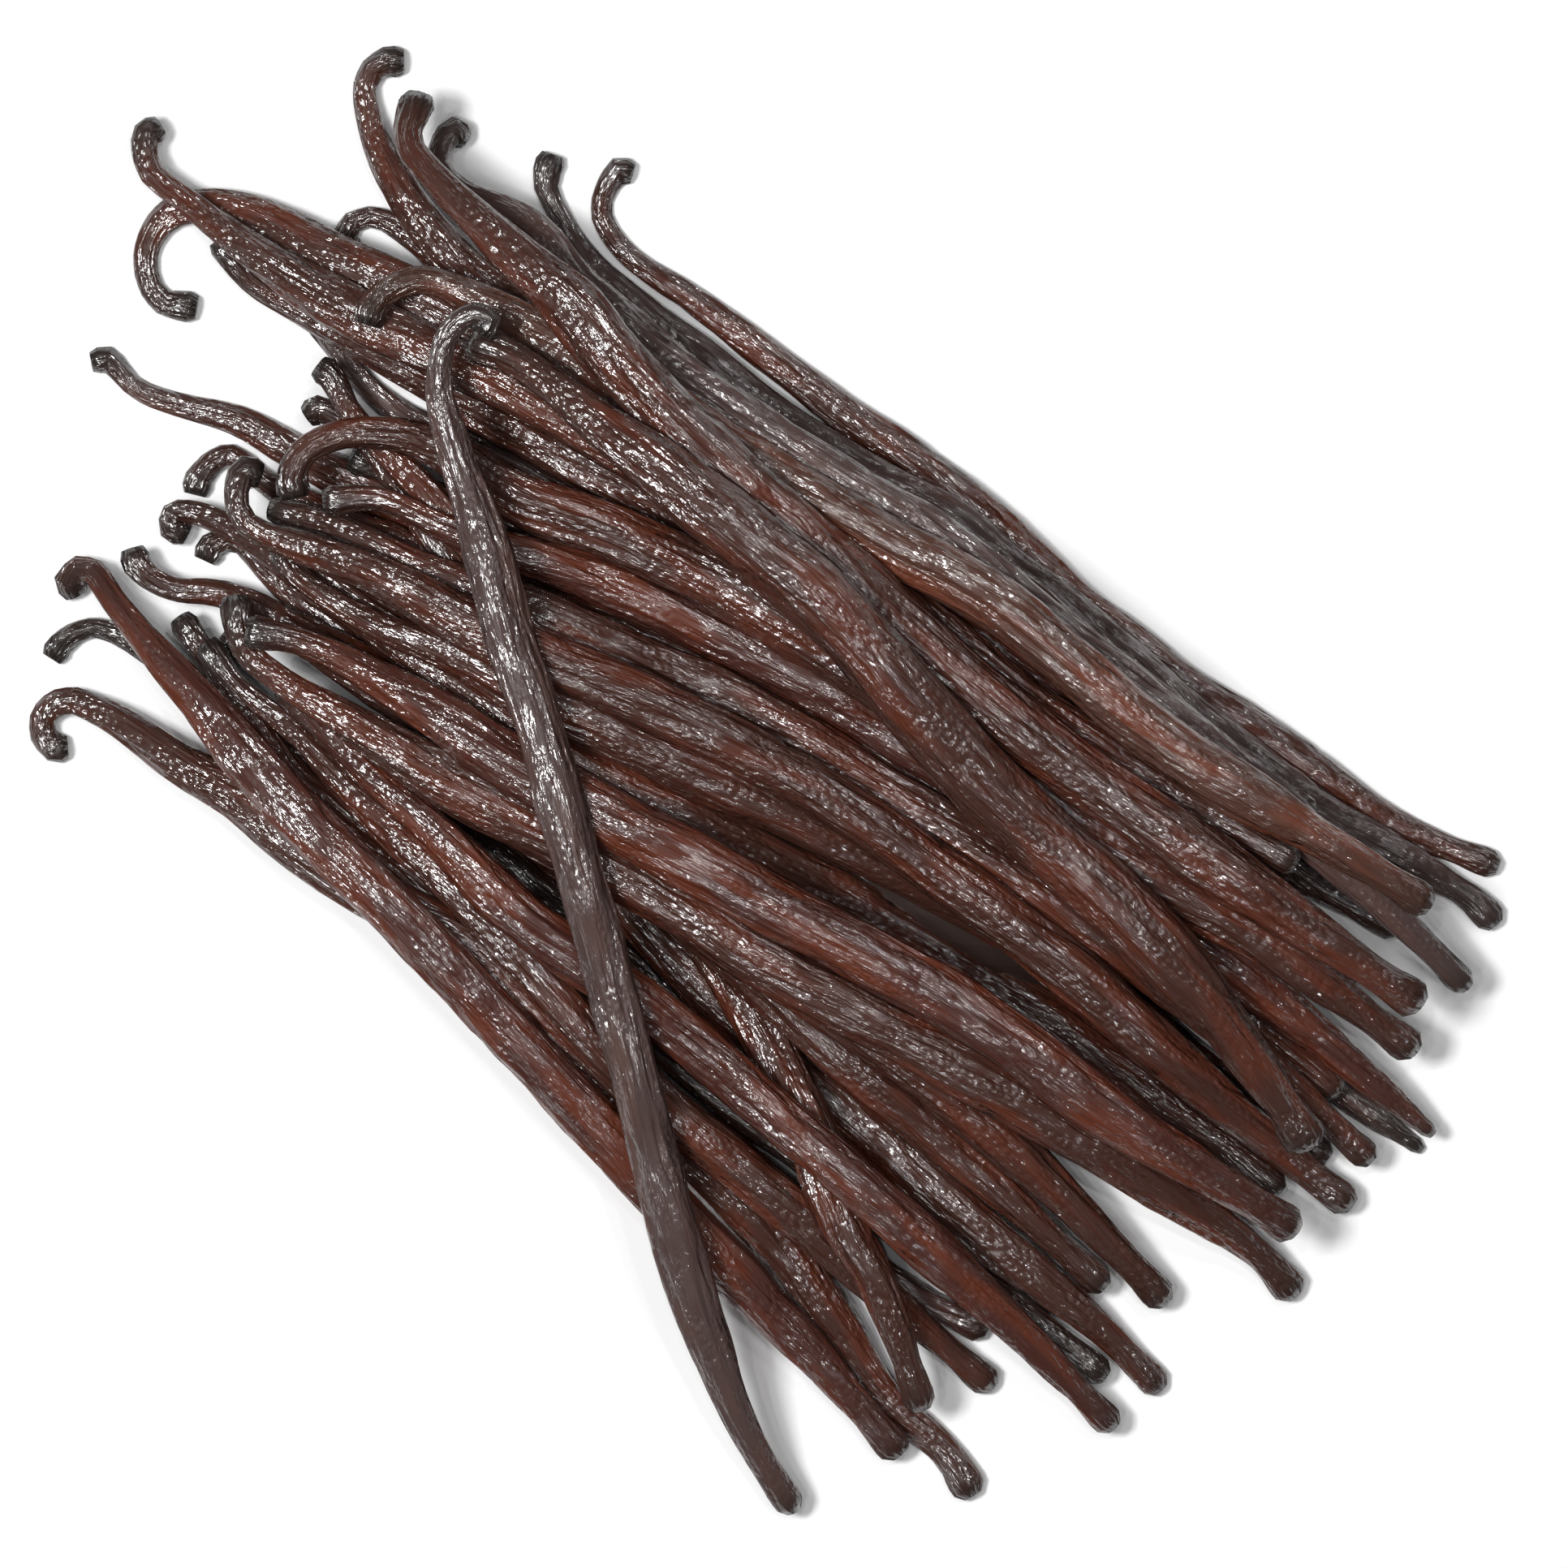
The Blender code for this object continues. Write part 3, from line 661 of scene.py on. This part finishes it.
def add_node(tree: bpy.types.NodeTree, kind: str, **values):
    """Adds a node, with its settings, its socket values and its links.

    Args:
        tree: The tree that gets the node.
        kind: Blender's name of the node type.
        values: Settings and sockets by name; a socket as the value makes a link.

    Returns:
        The new node.
    """
    node = tree.nodes.new(kind)
    sockets = {}
    for name, value in values.items():
        if hasattr(node, name) and name not in ("A", "B"):
            setattr(node, name, value)
        else:
            sockets[name] = value
    for name, value in sockets.items():
        found = [s for s in node.inputs if s.name == name and s.enabled]
        if isinstance(value, bpy.types.NodeSocket):
            tree.links.new(value, found[0])
        else:
            found[0].default_value = value
    return node


@dataclass
class PodPiece:
    """One shown piece: pods of one tone that lie near each other in the order of laying."""

    name: str
    members: list[tuple[int, LaidPod]]
    material: bpy.types.Material

    def build(self, shape: PodShape, settle: float) -> bpy.types.Object:
        """Joins the pods' skins into one mesh and hands it to the frame.

        Args:
            shape: How a pod's skin is made.
            settle: How far the heap sinks.

        Returns:
            The finished piece.
        """
        bm = bmesh.new()
        for seed, laid in self.members:
            shape.add(bm, laid, seed, settle)
        for vert in bm.verts:
            vert.co.z = max(vert.co.z, TABLE_GAP)
        mesh = bpy.data.meshes.new(self.name)
        bm.to_mesh(mesh)
        bm.free()
        mesh.materials.append(self.material)
        piece = bpy.data.objects.new(self.name, mesh)
        bpy.context.scene.collection.objects.link(piece)
        return hand_over(piece)


def hand_over(piece: bpy.types.Object) -> bpy.types.Object:
    """Ties a piece to the frame, hides the CAD node that it stands in for, and logs it.

    Args:
        piece: The piece.

    Returns:
        The same piece.
    """
    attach(piece, BODY)
    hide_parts(NODE)
    triangles = sum(len(face.vertices) - 2 for face in piece.data.polygons)
    log.info("%s: %d triangles", piece.name, triangles)
    return piece


@dataclass
class Core:
    """The dark filling under the pods, smaller than the heap, so that no light shows through its middle.

    Args:
        centre: Middle of the mound, in the millimetres of the routes.
        half_length: Half its length.
        half_breadth: Half its breadth.
        height: Its height.
        turn: Degrees that it is turned to lie along the heap.
        lift: How far it stays off the table.
    """

    centre: Point = (10.0, 5.0)
    half_length: float = 44.0
    half_breadth: float = 21.0
    height: float = 6.5
    turn: float = -39.0
    lift: float = 0.3

    def build(self, material: bpy.types.Material) -> bpy.types.Object:
        """Makes the core, a low mound along the heap.

        Args:
            material: The skin that it wears.

        Returns:
            The finished piece.
        """
        place = Vector((self.centre[0] - ORIGIN[0], self.centre[1] - ORIGIN[1], self.lift)) * MM
        size = Matrix.Diagonal((self.half_length * MM, self.half_breadth * MM, self.height * MM, 1.0))
        turn = Matrix.Rotation(math.radians(self.turn), 4, "Z")
        bm = bmesh.new()
        bmesh.ops.create_icosphere(bm, subdivisions=4, radius=1.0,
                                   matrix=Matrix.Translation(place) @ turn @ size)
        for vert in bm.verts:
            vert.co.z = max(vert.co.z, self.lift * MM)
        bmesh.ops.dissolve_degenerate(bm, dist=1e-6, edges=bm.edges)
        mesh = bpy.data.meshes.new("pods_core")
        bm.to_mesh(mesh)
        bm.free()
        mesh.materials.append(material)
        piece = bpy.data.objects.new("pods_core", mesh)
        bpy.context.scene.collection.objects.link(piece)
        return hand_over(piece)


@dataclass(frozen=True)
class Lamp:
    """One square white lamp: its place and side in metres, and its power in watts."""

    name: str
    place: tuple[float, float, float]
    side: float
    watts: float


@dataclass
class Studio:
    """A white table, soft lamps and a camera straight above, with sizes in metres.

    Args:
        camera_height: How high the camera hangs.
        shown_side: Side of the square of table that it shows.
        look_at: The point that it looks down on.
        table_half: Half the table's side.
        table_white: How much of the light the table gives back.
        ambient: Strength of the light from all round.
        key: The main lamp, which casts the shadow.
        far: A wide, weak lamp that opens up the shadow.
        sparks: Small lamps overhead, which the oily skin shows as glints.
        spark_reach: How far they stand from the middle, in turns.
        spark_height: How high they hang.
        spark_side: The side of each.
        spark_watts: The power of each.
        spark_turn: Share of a step by which their ring is turned.
    """

    camera_height: float = 1.6
    shown_side: float = 0.1932
    look_at: tuple[float, float] = (1.4 * MM, 0.1 * MM)
    table_half: float = 3.0
    table_white: float = 0.92
    ambient: float = 0.06
    key: Lamp = Lamp("key", (-0.50, 0.05, 1.05), 0.24, 10.3)
    far: Lamp = Lamp("far", (0.50, 0.60, 0.80), 0.60, 0.8)
    sparks: int = 8
    spark_reach: tuple[float, float] = (0.20, 0.44)
    spark_height: float = 1.15
    spark_side: float = 0.035
    spark_watts: float = 0.75
    spark_turn: float = 0.35

    def build(self) -> None:
        """Makes the table, the surroundings, the lamps and the camera."""
        self.table()
        self.surroundings(self.ambient)
        self.softbox(self.key)
        self.softbox(self.far)
        for index in range(self.sparks):
            turn = 2 * math.pi * (index + self.spark_turn) / self.sparks
            reach = self.spark_reach[index % 2]
            place = (reach * math.cos(turn), reach * math.sin(turn), self.spark_height)
            self.softbox(Lamp(f"spark_{index + 1}", place, self.spark_side, self.spark_watts))
        self.camera()
        bpy.context.scene.view_settings.view_transform = "Standard"

    def table(self) -> None:
        """A plain white surface under the heap, which takes its shadow."""
        bm = bmesh.new()
        bmesh.ops.create_grid(bm, x_segments=1, y_segments=1, size=self.table_half)
        mesh = bpy.data.meshes.new("table")
        bm.to_mesh(mesh)
        bm.free()
        top = bpy.data.objects.new("table", mesh)
        bpy.context.scene.collection.objects.link(top)
        # Matt white emulsion, rolled on: it has no gloss, so only the shadow shows on it.
        paint = bpy.data.materials.new("white_table")
        paint.use_nodes = True
        shader = paint.node_tree.nodes["Principled BSDF"]
        shader.inputs["Base Color"].default_value = (*[self.table_white] * 3, 1.0)
        shader.inputs["Roughness"].default_value = 0.9
        shader.inputs["Specular IOR Level"].default_value = 0.0
        mesh.materials.append(paint)

    @staticmethod
    def surroundings(strength: float) -> None:
        """Plain white light from all round, shown as pure white behind the table's edge.

        Args:
            strength: Strength of the light that reaches the heap.
        """
        world = bpy.data.worlds.new("white_room")
        world.use_nodes = True
        tree = world.node_tree
        tree.nodes.clear()
        path = add_node(tree, "ShaderNodeLightPath")
        light = add_node(tree, "ShaderNodeBackground", Color=(1.0, 1.0, 1.0, 1.0), Strength=strength)
        seen = add_node(tree, "ShaderNodeBackground", Color=(1.0, 1.0, 1.0, 1.0), Strength=1.0)
        mix = add_node(tree, "ShaderNodeMixShader", Fac=path.outputs["Is Camera Ray"])
        tree.links.new(light.outputs[0], mix.inputs[1])
        tree.links.new(seen.outputs[0], mix.inputs[2])
        out = add_node(tree, "ShaderNodeOutputWorld", Surface=mix.outputs[0])
        out.is_active_output = True
        bpy.context.scene.world = world

    @staticmethod
    def softbox(lamp: Lamp) -> None:
        """Hangs a square white lamp that faces the middle of the heap.

        Args:
            lamp: The lamp.
        """
        light = bpy.data.lights.new(lamp.name, "AREA")
        light.shape = "SQUARE"
        light.size = lamp.side
        light.energy = lamp.watts
        held = bpy.data.objects.new(lamp.name, light)
        held.location = lamp.place
        held.rotation_euler = (-Vector(lamp.place)).to_track_quat("-Z", "Y").to_euler()
        bpy.context.scene.collection.objects.link(held)

    def camera(self) -> None:
        """Looks straight down from far off, as for a pack shot."""
        lens = bpy.data.cameras.new("camera")
        lens.sensor_width = 36.0
        lens.lens = 36.0 * self.camera_height / self.shown_side
        held = bpy.data.objects.new("camera", lens)
        held.location = (self.look_at[0] - ORIGIN[0] * MM, self.look_at[1] - ORIGIN[1] * MM,
                         self.camera_height)
        bpy.context.scene.collection.objects.link(held)
        bpy.context.scene.camera = held


def grouped(laid: list[LaidPod], most: int) -> dict[str, list[tuple[int, LaidPod]]]:
    """Sorts the laid pods into pieces of one tone.

    Args:
        laid: The pods in the order of laying.
        most: The most pods in one piece.

    Returns:
        The members of each piece, by its name.
    """
    groups: dict[str, list[tuple[int, LaidPod]]] = {}
    for tone in Tone:
        members = [(seed, pod) for seed, pod in enumerate(laid, 1) if pod.pod.tone is tone]
        for start in range(0, len(members), most):
            groups[f"pods_{tone.value}_{start // most + 1}"] = members[start : start + most]
    return groups


def main() -> None:
    """Builds the pods, the core and the studio, in that order."""
    logging.basicConfig(level=logging.INFO, format="%(name)s %(message)s")
    heap = Heap()
    for pod in PODS:
        heap.lay(pod)
    skins = {tone: PodSkin(tone, finish).material() for tone, finish in FINISHES.items()}
    shape = PodShape()
    for name, members in grouped(heap.laid, MOST_PODS).items():
        PodPiece(name, members, skins[members[0][1].pod.tone]).build(shape, heap.settle)
    Core().build(skins[Tone.EBONY])
    Studio().build()


if __name__ == "__main__":
    main()
